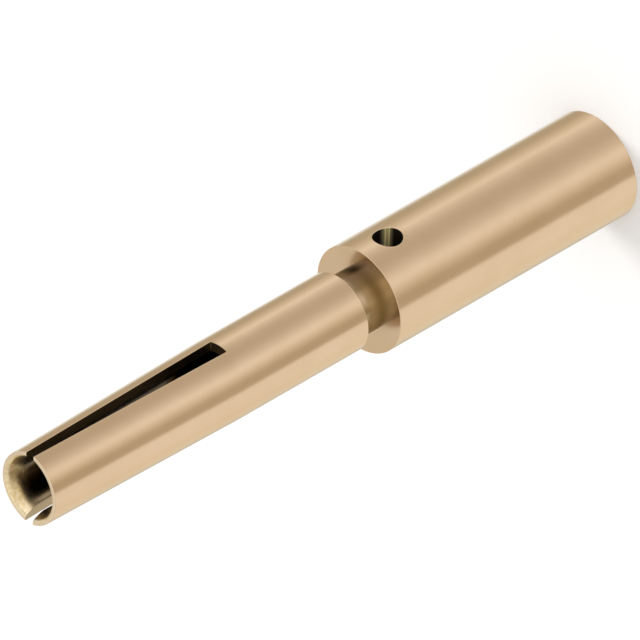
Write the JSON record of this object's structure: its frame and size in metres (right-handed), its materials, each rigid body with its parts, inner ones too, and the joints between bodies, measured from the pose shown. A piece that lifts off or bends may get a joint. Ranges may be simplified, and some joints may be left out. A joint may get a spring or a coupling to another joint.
{
  "type": "crimp socket contact",
  "caption": "Turned crimp socket contact: a slotted spring socket for a round pin, a clip groove, and a bored crimp barrel with an inspection hole for a stranded wire.",
  "frame": {"origin": "middle of the flat ring at the wire end, where the contact stands", "axes": "+Z along the contact's axis toward the mouth that takes the pin; -Y toward the inspection hole, with the saw cut running along Y; +X and -X toward the two tines"},
  "size_m": [0.0038, 0.0038, 0.0256],
  "materials": {
    "contact": "thin gold plating on turned copper alloy, smooth and semi-gloss"
  },
  "bodies": {
    "root": {"socket_contact": "contact"}
  },
  "joints": []
}
